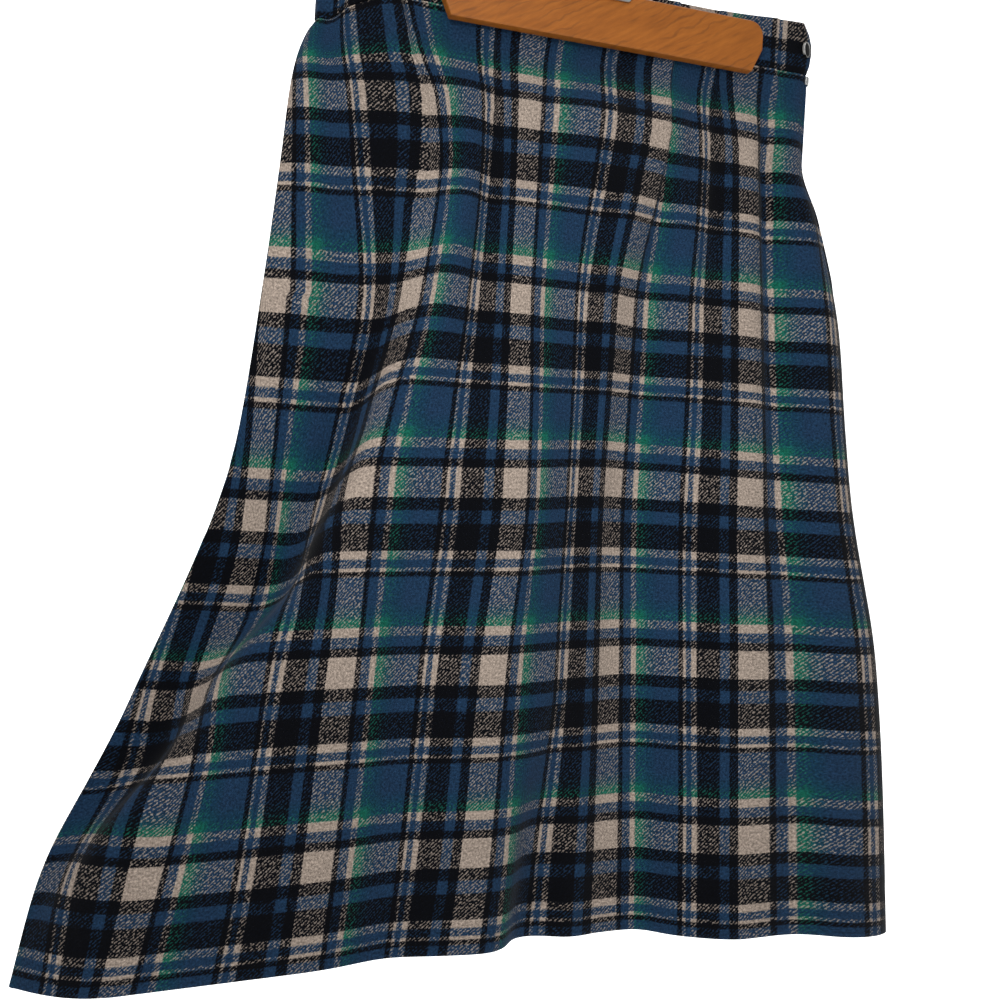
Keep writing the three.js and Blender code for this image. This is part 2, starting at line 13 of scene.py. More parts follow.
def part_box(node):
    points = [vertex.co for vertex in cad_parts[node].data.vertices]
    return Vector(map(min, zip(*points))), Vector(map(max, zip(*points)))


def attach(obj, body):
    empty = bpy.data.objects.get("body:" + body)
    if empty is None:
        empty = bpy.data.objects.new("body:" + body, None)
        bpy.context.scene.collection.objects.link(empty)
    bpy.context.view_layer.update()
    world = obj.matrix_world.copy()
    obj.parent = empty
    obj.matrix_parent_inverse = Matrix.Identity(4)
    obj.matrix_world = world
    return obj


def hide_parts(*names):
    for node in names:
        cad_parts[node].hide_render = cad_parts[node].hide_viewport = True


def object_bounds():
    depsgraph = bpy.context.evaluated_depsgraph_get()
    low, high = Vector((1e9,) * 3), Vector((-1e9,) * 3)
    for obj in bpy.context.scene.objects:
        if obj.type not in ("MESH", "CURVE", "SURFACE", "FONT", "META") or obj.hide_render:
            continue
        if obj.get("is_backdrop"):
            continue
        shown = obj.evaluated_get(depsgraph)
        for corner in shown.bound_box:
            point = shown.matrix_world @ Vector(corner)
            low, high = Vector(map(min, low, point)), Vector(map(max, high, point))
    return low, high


mm = 0.001
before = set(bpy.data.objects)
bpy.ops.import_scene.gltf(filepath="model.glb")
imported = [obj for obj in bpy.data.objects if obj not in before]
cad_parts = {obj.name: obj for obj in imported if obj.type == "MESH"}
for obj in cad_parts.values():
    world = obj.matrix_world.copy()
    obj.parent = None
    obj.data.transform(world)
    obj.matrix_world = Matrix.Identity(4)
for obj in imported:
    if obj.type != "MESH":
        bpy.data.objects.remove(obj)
cadBox = [list(corner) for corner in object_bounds()]
print("frame loaded:", len(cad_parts), "parts")


# how cloth lies, shared by the front and the back
cloth = {
    "wall": 1.8,
    "seamGap": 0.12,
    "seamHeight": -106,
    "length": 713,
    "hangShare": 0.996,
    "hemTurn": 38,
    "hemWall": 3.4,
    "tuckedShare": 0.08,
    "steepShare": 0.03,
    "foldOpening": 160,
    "droopFrom": -180,
    "droopRun": 70,
    "seamReach": 170,
    "zipLength": 168,
    "zipHalfWidth": 1.9,
    "zipStopRun": 10,
}
hem = {"stitchedAt": 676, "dimple": 4, "pull": 0.7, "pitch": 15}
downRows = [0, 14, 74, 214, 354, 494, 634, 713]
acrossRows = [0, 14, 40, 74, 120, 214, 300, 354, 494, 634, 713]


def clamp01(t):
    return np.clip(t, 0, 1)


def smooth(t):
    return clamp01(t) ** 2 * (3 - 2 * clamp01(t))


def mix(a, b, t):
    return a + (b - a) * t


def bell(t):
    return np.exp(-t * t)


def curveThrough(xs, ys):
    # a smooth curve through the points that never swings past them
    xs, ys = np.array(xs, float), np.array(ys, float)
    steps = np.diff(ys) / np.diff(xs)
    product = steps[:-1] * steps[1:]
    total = np.where(product > 0, steps[:-1] + steps[1:], 1)
    middle = np.where(product > 0, 2 * product / total, 0)
    slopes = np.concatenate([steps[:1], middle, steps[-1:]])

    def curve(x):
        x = np.asarray(x, float)
        i = np.clip(np.searchsorted(xs, x, side="right") - 1, 0, len(xs) - 2)
        h = xs[i + 1] - xs[i]
        t = (x - xs[i]) / h
        bow = h * t * (1 - t) * ((1 - t) * slopes[i] - t * slopes[i + 1])
        inside = mix(ys[i], ys[i + 1], t * t * (3 - 2 * t)) + bow
        below = ys[0] + slopes[0] * (x - xs[0])
        above = ys[-1] + slopes[-1] * (x - xs[-1])
        return np.where(x < xs[0], below, np.where(x > xs[-1], above, inside))

    return curve


def column(values):
    return curveThrough(downRows if len(values) == len(downRows) else acrossRows, values)


def foldHeight(folds, across, down):
    total = np.zeros_like(across)
    for fold in folds:
        t = clamp01((down - fold["start"]) / (fold["end"] - fold["start"]))
        if fold["end"] >= cloth["length"]:
            opened = smooth((down - fold["start"]) / cloth["foldOpening"])
        else:
            opened = math.sin(math.pi * t)
        middle = mix(fold["top"], fold["bottom"], t)
        total = total + fold["height"] * opened * bell((across - middle) / fold["width"])
    return total


def foldTable(*rows):
    # each row: where it runs at its top and bottom, from and to which height, how high, how wide
    names = ("top", "bottom", "start", "end", "height", "width")
    return [dict(zip(names, row)) for row in rows]


def tuckPlace(tuck, down):
    # where a tuck's middle lies and how much cloth it hides at this height
    hidden = tuck["hidden"] * (1 - smooth(down / tuck["to"]))
    return mix(tuck["top"], tuck["bottom"], clamp01(down / tuck["to"])), hidden


def shownShare(tucks, across, down):
    share = np.ones_like(across)
    for tuck in tucks:
        middle, hidden = tuckPlace(tuck, down)
        share = np.where(np.abs(across - middle) < hidden / 2, cloth["tuckedShare"], share)
    return share


def tuckLip(tucks, across, down):
    # the laid-over edge of each tuck stands proud and drops sharply on one side
    total = np.zeros_like(across)
    for tuck in tucks:
        middle, hidden = tuckPlace(tuck, down)
        side = (across - middle) * tuck["faces"]
        reach = max(hidden / 2, 1)
        rise = np.exp(-np.maximum(-side, 0) / 26) * (1 - smooth((side + reach) / (2 * reach)))
        total = total + tuck["lip"] * (1 - smooth(down / tuck["lipTo"])) * rise
    return total


turnLength = column([9, 12, 26, 44, 58, 70, 78, 80])


def turnIn(edgeDistance, down):
    return np.sin(math.pi / 2 * clamp01(edgeDistance / turnLength(down)))


def spreadCloth(pins, forward, tucks, down):
    # lays the cloth out between its pins: steep or tucked cloth takes less room
    clothPlaces, worldPlaces = [], []
    for (startCloth, startPlace), (endCloth, endPlace) in zip(pins, pins[1:]):
        count = max(2, round(float(endCloth - startCloth)))
        edges = np.linspace(float(startCloth), float(endCloth), count + 1)
        middles = (edges[1:] + edges[:-1]) / 2
        slope = (forward(middles + 1, down) - forward(middles - 1, down)) / 2
        room = np.sqrt(np.maximum(cloth["steepShare"], 1 - slope**2))
        sums = np.concatenate([[0], np.cumsum(room * shownShare(tucks, middles, down))])
        clothPlaces.append(edges)
        worldPlaces.append(mix(float(startPlace), float(endPlace), sums / sums[-1]))
    allCloth, allWorld = np.concatenate(clothPlaces), np.concatenate(worldPlaces)
    return lambda across: np.interp(across, allCloth, allWorld)


# the front: where its main threads hang and how far they stand forward
front = {
    "threads": {"A": -292, "B": -166, "C": -40, "D": 86, "E": 212, "F": 338},
    "pins": {"A": -292, "P": -218, "B": -166, "C": -40, "D": 86, "E": 212},
    "leftCut": [-268, -271, -284, -302, -330, -358, -374, -382],
    "rightCut": [266, 268, 276, 310, 320, 328, 333, 335],
    "leftSeam": [-228, -234, -240, -244, -247, -255, -265, -279, -332, -385, -400],
    "rightSeam": [186, 187, 187, 187, 206, 234, 246, 254, 285, 302, 310],
    "across": {
        "A": [-228, -234, -240, -248, -249, -249, -249, -249, -284, -316, -333],
        "P": [-207, -206, -203, -197, -190, -176, -190, -203, -235, -248, -258],
        "B": [-166, -162, -155, -142, -137, -147, -170, -183, -190, -199, -205],
        "C": [-56, -58, -61, -64, -65, -65, -63, -63, -76, -83, -90],
        "D": [56, 54, 51, 47, 38, 22, 22, 22, 29, 36, 40],
        "E": [125, 126, 127, 129, 131, 135, 136, 136, 141, 147, 151],
    },
    "depth": {
        "A": [3, 3, 8, 18, 34, 46, 44, 42],
        "B": [3, 3, 12, 26, 43, 53, 58, 60],
        "C": [3, 3, 20, 31, 43, 53, 58, 60],
        "D": [3, 3, 22, 25, 21, 19, 20, 19],
        "E": [3, 3, 14, 24, 38, 48, 54, 57],
        "F": [11, 12, 12, 24, 34, 44, 50, 50],
    },
    "sag": {
        "A": [0, 0, 0, 8, 20, 20, 20, 20],
        "B": [-3, -4, -5, 3, 13, 11, 8, 4],
        "C": [0, 0, 1, 6, 7, 7, 2, -2],
        "D": [0, 0, 1, 5, 1, 3, 2, 2],
        "E": [0, 0, 1, 3, 2, 1, 0, 0],
        "F": [0, 0, 0, 0, 2, 6, 15, 18],
    },
    "pinAFrom": 214,
    "columns": 184,
    "rows": 186,
}

# the great diagonal fold: the cloth left of it lies back and lower
diagonalFold = {
    "at": column([-165, -165, -140, -165, -200, -284, -372, -420]),
    "width": column([50, 50, 70, 80, 88, 88, 88, 88]),
    "depth": column([7, 8, 12, 4, -12, -4, 8, 12]),
    "sag": column([0, 0, 0, 14, 43, 46, 33, 30]),
    "droop": column([26, 22, 8, 4, 0, 0, 0, 0]),
    "side": column([0, 0, 0, -4, -16, -12, 2, 14]),
}

# softer folds, a ridge positive and a trough negative
frontFolds = foldTable(
    (22, 30, 22, 150, 6, 34),  # waist hump
    (-78, -92, 14, 320, -10, 22),
    (72, 58, 14, 713, 6, 20),
    (112, 118, 20, 713, -6, 20),
    (172, 176, 14, 240, -5, 16),
    (244, 240, 30, 713, -8, 22),
    (-112, -100, 330, 713, -7, 34),
    (20, 22, 500, 713, -14, 30),  # hem dip
)
# fine creases: short pulls under the clamp, then longer and softer ones
frontCreases = foldTable(
    (-196, -214, 4, 96, -2.2, 9),
    (-128, -120, 2, 64, -1.8, 7),
    (-20, -26, 2, 120, -2.4, 9),
    (44, 52, 2, 86, -1.6, 7),
    (146, 140, 6, 134, -2.6, 8),
    (232, 236, 4, 430, -8, 9),
    (230, 233, 0, 190, -5, 7),
    (262, 286, 60, 300, 2.4, 11),
    (150, 168, 300, 620, -3, 16),
    (-250, -232, 250, 470, 2.6, 12),
    (36, -12, 380, 713, 3, 18),
)
frontTucks = [
    {"top": -168, "bottom": -168, "hidden": 20, "to": 170, "faces": 1, "lip": 1.2, "lipTo": 90},
    {"top": -78, "bottom": -80, "hidden": 15, "to": 150, "faces": 1, "lip": 1.2, "lipTo": 150},
    {"top": 108, "bottom": 100, "hidden": 27, "to": 190, "faces": 1, "lip": 3, "lipTo": 260},
    {"top": 176, "bottom": 178, "hidden": 18, "to": 60, "faces": -1, "lip": 1.6, "lipTo": 110},
    {"top": 238, "bottom": 256, "hidden": 4, "to": 60, "faces": 1, "lip": 2.2, "lipTo": 64},
]

# the back, which nobody sees from the front: plainer, with five soft flutes
back = {
    "halfWidth": column([214, 218, 248, 290, 318, 340, 352, 357]),
    "depth": column([3, 3, 12, 24, 33, 41, 46, 48]),
    "side": column([0, 0, 0, 4, 16, 12, -2, -14]),
    "columns": 128,
    "rows": 132,
}
backFolds = foldTable(
    (-120, -168, 60, 713, -13, 34),
    (-60, -72, 120, 713, 8, 38),
    (10, 22, 200, 713, -10, 36),
    (88, 116, 90, 713, 9, 40),
    (150, 214, 60, 713, -12, 32),
)
backCreases = foldTable(
    (-190, -204, 3, 88, -2.0, 9),
    (-148, -150, 2, 60, -1.6, 7),
    (-36, -30, 2, 110, -2.3, 9),
    (34, 26, 2, 74, -1.5, 7),
    (128, 140, 4, 126, -2.4, 8),
    (184, 226, 60, 330, 2.6, 12),
    (-92, -112, 330, 713, 3, 17),
    (62, 70, 420, 713, -3, 20),
)
backTucks = [
    {"top": -84, "bottom": -84, "hidden": 16, "to": 110, "faces": 1, "lip": 1, "lipTo": 120},
    {"top": 84, "bottom": 84, "hidden": 16, "to": 110, "faces": -1, "lip": 1, "lipTo": 120},
]

leftCut = column(front["leftCut"])
rightCut = column(front["rightCut"])
leftSeam = column(front["leftSeam"])
rightSeam = column(front["rightSeam"])
threadPlaces = list(front["threads"].values())
threadAcross = {key: column(values) for key, values in front["across"].items()}
threadDepth = [column(values) for values in front["depth"].values()]
threadSag = [column(values) for values in front["sag"].values()]


def overThreads(columns, across, down):
    values = [float(value(down)) for value in columns]
    return curveThrough(threadPlaces, values)(np.maximum(across, threadPlaces[0]))


def beyondFold(across, down):
    return smooth((across - diagonalFold["at"](down)) / diagonalFold["width"](down) + 0.5)


def frontForward(across, down):
    opened = overThreads(threadDepth, across, down) + foldHeight(frontFolds, across, down)
    body = mix(diagonalFold["depth"](down), opened, beyondFold(across, down))
    fromLeft = turnIn(across - leftCut(down), down)
    fromRight = turnIn(rightCut(down) - across, down)
    side = np.where(across < 0, diagonalFold["side"](down), 0)
    return mix(side, body, np.minimum(fromLeft, fromRight))


def frontDrop(across, down):
    sag = mix(
        diagonalFold["sag"](down), overThreads(threadSag, across, down), beyondFold(across, down)
    )
    droop = diagonalFold["droop"](down) * smooth((cloth["droopFrom"] - across) / cloth["droopRun"])
    return down * cloth["hangShare"] + sag + droop


def frontPins(down):
    pins = [(leftCut(down), leftSeam(down))]
    for key, place in front["pins"].items():
        if key != "A" or down > front["pinAFrom"]:
            pins.append((place, threadAcross[key](down)))
    return pins + [(rightCut(down), rightSeam(down))]


def backBehind(across, down):
    body = back["depth"](down) + foldHeight(backFolds, across, down)
    turned = turnIn(back["halfWidth"](down) - np.abs(across), down)
    return mix(np.where(across < 0, back["side"](down), 0), body, turned)


def backDrop(across, down):
    half = back["halfWidth"](down)
    plain = down * cloth["hangShare"]
    leftExtra = frontDrop(leftCut(down), down) - plain
    rightExtra = frontDrop(rightCut(down), down) - plain
    fromLeft = 1 - smooth((across + half) / cloth["seamReach"])
    fromRight = 1 - smooth((half - across) / cloth["seamReach"])
    return plain + leftExtra * fromLeft + rightExtra * fromRight


def backPins(down):
    half = back["halfWidth"](down)
    return [(-half, leftSeam(down)), (half, rightSeam(down))]


def columnsAcross(left, right, crowd, count):
    # places across a panel, closer together where crowd is larger
    fine = np.linspace(left, right, 1600)
    sums = np.concatenate([[0], np.cumsum(crowd((fine[1:] + fine[:-1]) / 2))])
    return np.interp(np.linspace(0, sums[-1], count + 1), sums, fine)


def nearSides(across, left, right, down):
    reach = 0.4 * turnLength(down)
    return 2.2 * np.exp(-(across - left) / reach) + 2.2 * np.exp(-(right - across) / reach)


def frontCrowd(across, down):
    fold = bell((across - diagonalFold["at"](down)) / (0.45 * diagonalFold["width"](down)))
    return 1 + nearSides(across, leftCut(down), rightCut(down), down) + 1.2 * fold


def backCrowd(across, down):
    half = back["halfWidth"](down)
    return 1 + nearSides(across, -half, half, down)


def zipOpening(down):
    closed = smooth((down - cloth["zipLength"] - 2) / cloth["zipStopRun"])
    return (cloth["zipHalfWidth"] + cloth["seamGap"]) * (1 - closed)


def hemStitches(across, down):
    # the hem's blind stitches pull small dimples into the cloth
    spread = bell((down - hem["stitchedAt"]) / hem["dimple"])
    return hem["pull"] * spread * (0.65 + 0.35 * np.cos(2 * math.pi * across / hem["pitch"]))


def panelGrid(shape, facing, columns, rows):
    # middle surface of one panel, its place in the cloth and its seam's closest place
    left, right, forward, drop, pins, tucks, creases, side, crowd = shape
    closeRows = np.linspace(0, 30, 9)[:-1]
    downs = np.concatenate([closeRows, np.linspace(30, cloth["length"], rows - len(closeRows))])
    points, uvs, seams = [], [], []
    for down in downs:
        place = spreadCloth(pins(down), forward, tucks, down)
        span = (float(left(down)), float(right(down)))
        across = columnsAcross(*span, lambda x: crowd(x, down), columns)
        opening = max(cloth["seamGap"] / 2, float(zipOpening(down)))
        onLeft = np.arange(columns + 1) < columns / 2
        seam = np.where(onLeft, float(side(down)) + cloth["seamGap"] / 2, opening)
        lifted = forward(across, down) + tuckLip(tucks, across, down)
        lifted = lifted + foldHeight(creases, across, down) - hemStitches(across, down)
        depth = facing * np.maximum(seam, lifted)
        height = cloth["seamHeight"] - cloth["seamGap"] / 2 - drop(across, down)
        points.append(np.stack([place(across), depth, height], axis=1))
        uvs.append(np.stack([across, np.full_like(across, down)], axis=1))
        seams.append(seam)
    return np.array(points), np.array(uvs), np.array(seams)


def gridNormals(points):
    alongRow = np.gradient(points, axis=1)
    downColumn = np.gradient(points, axis=0)
    normals = np.cross(alongRow, downColumn)
    normals /= np.maximum(np.linalg.norm(normals, axis=2, keepdims=True), 1e-9)
    level = normals * np.array([1, 0, 1])
    length = np.linalg.norm(level, axis=2, keepdims=True)
    turned = np.where(length > 0.5, level / np.maximum(length, 1e-9), normals)
    normals[:, [0, -1]] = turned[:, [0, -1]]
    normals[[0, -1], :, 2] = 0
    return normals / np.maximum(np.linalg.norm(normals, axis=2, keepdims=True), 1e-9)


def meshPiece(name, vertices, faces, uvs):
    mesh = bpy.data.meshes.new(name)
    mesh.from_pydata((np.asarray(vertices) * mm).tolist(), [], faces)
    layer = mesh.uv_layers.new(name="cloth")
    corners = np.empty(len(mesh.loops), int)
    mesh.loops.foreach_get("vertex_index", corners)
    layer.data.foreach_set("uv", (np.asarray(uvs)[corners] * mm).ravel())
    piece = bpy.data.objects.new(name, mesh)
    bpy.context.scene.collection.objects.link(piece)
    return piece


def setMode(mode):
    bpy.ops.object.mode_set(mode=mode)


def makeActive(piece):
    if bpy.context.object and bpy.context.object.mode != "OBJECT":
        setMode("OBJECT")
    bpy.ops.object.select_all(action="DESELECT")
    piece.select_set(True)
    bpy.context.view_layer.objects.active = piece


def smoothBy(piece, degrees):
    makeActive(piece)
    bpy.ops.object.shade_smooth_by_angle(angle=math.radians(degrees))


def recalculate(piece):
    makeActive(piece)
    setMode("EDIT")
    bpy.ops.mesh.select_all(action="SELECT")
    bpy.ops.mesh.remove_doubles(threshold=0.000001)
    bpy.ops.mesh.normals_make_consistent(inside=False)
    setMode("OBJECT")


def facingSign(normals, facing):
    return np.sign(normals[..., 1:2].mean()) * facing


def clothPanel(name, points, uvs, seams, facing):
    # a closed wall: the outer face, the inner face doubled by the hem, and the rims
    normals = gridNormals(points)
    rows, columns = points.shape[:2]
    half = cloth["wall"] / 2
    inHem = uvs[:, :1, 1] > cloth["length"] - cloth["hemTurn"]
    inner = np.where(inHem, cloth["hemWall"] - half, half)[..., None]
    outer = points + normals * half * facingSign(normals, facing)
    inside = points - normals * inner * facingSign(normals, facing)
    for layer in (outer, inside):
        layer[..., 1] = facing * np.maximum(seams, facing * layer[..., 1])
    roll = (outer[-1] + inside[-1]) / 2 - np.array([0, 0, 1.1])  # rounded fold of the hem
    vertices = np.concatenate([outer.reshape(-1, 3), inside.reshape(-1, 3), roll])
    allUvs = np.concatenate([uvs.reshape(-1, 2), uvs.reshape(-1, 2), uvs[-1]])
    size = rows * columns
    faces = []
    for i in range(rows - 1):
        for j in range(columns - 1):
            a = i * columns + j
            b, c, d = a + 1, a + columns + 1, a + columns
            faces += [(a, d, c, b), (size + a, size + b, size + c, size + d)]
    for i in range(rows - 1):
        for a in (i * columns, (i + 1) * columns - 1):
            faces.append((a, a + columns, size + a + columns, size + a))
    for j in range(columns - 1):
        last = (rows - 1) * columns + j
        faces.append((j, j + 1, size + j + 1, size + j))
        faces.append((last, last + 1, 2 * size + j + 1, 2 * size + j))
        faces.append((2 * size + j, 2 * size + j + 1, size + last + 1, size + last))
    for j, side in ((0, 0), (columns - 1, 1)):
        last = (rows - 1) * columns + j
        faces.append((last, size + last, 2 * size + j))
    piece = meshPiece(name, vertices, faces, allUvs)
    recalculate(piece)
    smoothBy(piece, 62)
    return piece


def backLeft(down):
    return -back["halfWidth"](down)


frontSides = (leftCut, rightCut, frontForward, frontDrop, frontPins)
frontShape = (*frontSides, frontTucks, frontCreases, diagonalFold["side"], frontCrowd)
backSides = (backLeft, back["halfWidth"], backBehind, backDrop, backPins)
backShape = (*backSides, backTucks, backCreases, back["side"], backCrowd)
frontGrid = panelGrid(frontShape, -1, front["columns"], front["rows"])
backGrid = panelGrid(backShape, 1, back["columns"], back["rows"])
frontPoints, backPoints = frontGrid[0], backGrid[0]
frontCloth = clothPanel("front_cloth", *frontGrid, -1)
backCloth = clothPanel("back_cloth", *backGrid, 1)
print("panels laid out:", len(frontCloth.data.vertices), len(backCloth.data.vertices))


# the waistband: one doubled strip, from its underlap round the left end to the button
band = {
    "height": 40,
    "wall": 3,
    "overlap": 28,
    "gap": 0.3,
    "round": 1.2,
    "ends": 4,
    "blackAt": 174,  # where a wide black stripe stands on the front
    "creamDown": -35.9,
    "noseFrom": 177,
    "noseRun": 10,
    "riseFrom": 90,  # the top edge climbs a little towards the button
    "riseRun": 90,
    "rise": 3.2,
}


def bandPath():
    seamEnd = backPoints[0, -1, 0]
    backLine = backPoints[0]
    underlap = backLine[backLine[:, 0] < seamEnd - band["ends"]][::-1]
    wrapped = backLine[backLine[:, 0] > seamEnd - band["overlap"]][::-1].copy()
    wrapped[:, 1] += band["wall"] + band["gap"]
    wrapped[0, 0] += band["wall"] / 2
    return np.concatenate([underlap[:-1], frontPoints[0][:-1], wrapped])


def bandSection():
    # half thickness and height round the strip, its top fold and foot rounded
    half, top, r = band["wall"] / 2, band["height"], band["round"]
    section = []
    for centre, angles in (
        ((half - r, r), (-90, -45, 0)),
        ((half - r, top - r), (0, 30, 60, 90)),
        ((-half + r, top - r), (90, 120, 150, 180)),
        ((-half + r, r), (180, 225, 270)),
    ):
        for angle in np.radians(angles):
            section.append((centre[0] + r * math.cos(angle), centre[1] + r * math.sin(angle)))
    outside = [(half + 0.05, h) for h in (8, 16, 24, 32)]
    return section[:3] + outside + section[3:]


def noseShift(x, share):
    # the buttoned end is a soft rounded nose: how far it reaches at each height
    reach = curveThrough([0, 0.35, 0.6, 0.85, 1], [-0.5, 3.6, 3.4, -0.6, -5])(share)
    return reach * smooth((x - band["noseFrom"]) / band["noseRun"])


def clothBand():
    path = bandPath()
    step = np.gradient(path, axis=0)
    flatStep = step[:, :2] / np.linalg.norm(step[:, :2], axis=1, keepdims=True)
    outwards = np.stack([flatStep[:, 1], -flatStep[:, 0]], axis=1)
    steepness = np.abs(step[:, 2]) / np.linalg.norm(step, axis=1)
    foot = band["gap"] * (1 + 2 * steepness)
    along = np.concatenate([[0], np.cumsum(np.linalg.norm(np.diff(path, axis=0), axis=1))])
    section = bandSection()
    vertices, uvs = [], []
    for k, place in enumerate(path):
        climb = band["rise"] * smooth((place[0] - band["riseFrom"]) / band["riseRun"])
        for thick, high in section:
            rise = foot[k] + high * (band["height"] + climb - foot[k]) / band["height"]
            x, y = place[:2] + outwards[k] * thick
            vertices.append([x + noseShift(place[0], high / band["height"]), y, place[2] + rise])
            uvs.append([along[k], -high])
    count, ring = len(path), len(section)
    faces = []
    for k in range(count - 1):
        for m in range(ring):
            n = (m + 1) % ring
            faces.append((k * ring + m, k * ring + n, (k + 1) * ring + n, (k + 1) * ring + m))
    faces.append(tuple(range(ring))[::-1])
    faces.append(tuple((count - 1) * ring + m for m in range(ring)))
    piece = meshPiece("waistband_cloth", vertices, faces, uvs)
    recalculate(piece)
    smoothBy(piece, 50)
    frontStart = len(path) // 3
    front = path[frontStart:]
    marked = np.argmin(np.abs(front[:, 0] - band["blackAt"]) + np.maximum(front[:, 1], 0))
    return piece, along[-1], along[frontStart + marked]


bandCloth, bandLength, bandBlack = clothBand()
print("waistband laid round:", round(float(bandLength)), "mm")


# shader sums are written as plain expressions on Wire
class Wire:
    def __init__(self, socket):
        self.socket = socket

    def sum(self, operation, *others, flip=False):
        tree = self.socket.id_data
        node = tree.nodes.new("ShaderNodeMath")
        node.operation = operation
        terms = (*others, self) if flip else (self, *others)
        for slot, term in zip(node.inputs, terms):
            plug(tree, slot, term)
        return Wire(node.outputs[0])

    def __add__(self, other):
        return self.sum("ADD", other)

    def __radd__(self, other):
        return self.sum("ADD", other)

    def __sub__(self, other):
        return self.sum("SUBTRACT", other)

    def __rsub__(self, other):
        return self.sum("SUBTRACT", other, flip=True)

    def __mul__(self, other):
        return self.sum("MULTIPLY", other)

    def __rmul__(self, other):
        return self.sum("MULTIPLY", other)

    def __truediv__(self, other):
        return self.sum("DIVIDE", other)

    def __rtruediv__(self, other):
        return self.sum("DIVIDE", other, flip=True)


def plug(tree, slot, value):
    if isinstance(value, Wire):
        tree.links.new(value.socket, slot)
    elif value is not None:
        slot.default_value = value


class Finish:
    # a material, its nodes made one at a time by node()
    def __init__(self, name, **constants):
        self.material = bpy.data.materials.new(name)
        self.material.use_nodes = True
        self.tree = self.material.node_tree
        self.surface = self.tree.nodes["Principled BSDF"]
        for socket, value in constants.items():
            self.surface.inputs[socket.replace("_", " ")].default_value = value

    def node(self, kind, settings=None, inputs=None, output=0):
        made = self.tree.nodes.new("ShaderNode" + kind)
        for key, value in (settings or {}).items():
            if key == "stops":
                self.setStops(made.color_ramp, value)
            else:
                setattr(made, key, value)
        for key, value in (inputs or {}).items():
            plug(self.tree, made.inputs[key], value)
        return Wire(made.outputs[output])

    def setStops(self, ramp, stops):
        while len(ramp.elements) > 1:
            ramp.elements.remove(ramp.elements[-1])
        for number, (position, color) in enumerate(stops):
            stop = ramp.elements[0] if number == 0 else ramp.elements.new(position)
            stop.position = position
            stop.color = (*color, 1)

    def ramp(self, value, stops):
        return self.node("ValToRGB", {"stops": stops}, {0: value})

    def blend(self, a, b, factor, mode="MIX"):
        settings = {"data_type": "RGBA", "blend_type": mode}
        inputs = {0: factor, 6: asColor(a), 7: asColor(b)}
        return self.node("Mix", settings, inputs, output=2)

    def noise(self, vector, scale, detail=2.0, roughness=0.5):
        inputs = {"Vector": vector, "Scale": scale, "Detail": detail, "Roughness": roughness}
        return self.node("TexNoise", {}, inputs)

    def fraction(self, value):
        return value.sum("FRACT")

    def step(self, value, low, high):
        # 0 below low, 1 above high, smooth between
        inputs = {"Value": value, "From Min": low, "From Max": high}
        return self.node("MapRange", {"interpolation_type": "SMOOTHSTEP"}, inputs)

    def bump(self, height, distance, strength=1.0):
        inputs = {"Height": height, "Distance": distance, "Strength": strength}
        return self.node("Bump", {}, inputs)

    def put(self, **links):
        for socket, value in links.items():
            plug(self.tree, self.surface.inputs[socket.replace("_", " ")], value)


def asColor(value):
    return (*value, 1) if isinstance(value, tuple) and len(value) == 3 else value


def fromScreen(red, green, blue):
    # a colour mixed on a screen, as the shader's light values
    shares = [c / 255 for c in (red, green, blue)]
    return tuple(((c + 0.055) / 1.055) ** 2.4 if c > 0.04 else c / 12.92 for c in shares)


# the sett: dyed yarns as a screen shows them, and each stripe's width across and down
yarn = {
    "cream": (140, 127, 116),
    "black": (8, 10, 15),
    "blue": (28, 47, 68),
    "green": (22, 80, 66),
    "teal": (22, 54, 66),
}
sett = [
    ("cream", 23.0, 29),
    ("black", 4.1, 8),
    ("blue", 7.3, 10),
    ("cream", 4.9, 9),
    ("green", 10.9, 12),
    ("blue", 25.6, 35),
    ("black", 4.1, 5),
    ("cream", 2.6, 3.5),
    ("blue", 4.3, 8),
    ("cream", 4.6, 8),
    ("black", 18.5, 25.5),
    ("blue", 8.2, 13),
    ("black", 7.6, 12),
]
tartan = {
    "acrossRepeat": 126,
    "downRepeat": 140,
    "creamAcross": -40,  # middle of a wide cream stripe
    "backCream": 20,
    "creamDown": 75,
    "blackFromCream": 89.2,
    "edge": 0.5,
    "twill": 3.1,
    "fleck": 500,
    "wander": 2.0,
    "lightFrom": 0.45,  # where the pale yarn starts to show over a dark one
    "lightTo": 0.63,
    "leastPale": 0.03,
    "mostPale": 0.79,
    "nap": 560,
    "hairy": 1.5,
    "relief": 0.22,
}


def settStops(widths, repeat, reverse):
    # the ramp's stops: each stripe's two ends, close together at the edges
    names = [name for name, _, _ in sett]
    places = np.concatenate([[0], np.cumsum(widths)]) / sum(widths)
    soft = tartan["edge"] / repeat / 2
    shades = {name: tuple(c / 255 for c in color) for name, color in yarn.items()}
    stops = []
    for k, name in enumerate(names):
        start, end = places[k] + soft, places[k + 1] - soft
        color = shades[name]
        if name == "green":
            stops += [(start, color), (mix(start, end, 0.45), color), (end, shades["teal"])]
        elif names[k - 1] == "green":
            stops += [(start, shades["teal"]), (mix(start, end, 0.3), color), (end, color)]
        else:
            stops += [(start, color), (end, color)]
    if reverse:
        stops = [(1 - place, color) for place, color in stops[::-1]]
    return stops


def stripes(finish, place, axis, shift, repeat, column, reverse):
    # dyed yarns of one direction, their edges wandering a little
    along = finish.node("SeparateXYZ", {}, {0: place}, axis)
    wander = finish.noise(place, 760 + 60 * axis, 2)
    widths = [row[column] for row in sett]
    creamHalf = widths[0] / sum(widths) * repeat / 2
    first = (shift + (creamHalf if reverse else -creamHalf)) * mm
    moved = along + (wander - 0.5) * (tartan["wander"] * mm)
    turns = finish.fraction((moved - first) / (repeat * mm))
    return along, finish.ramp(turns, settStops(widths, repeat, reverse))


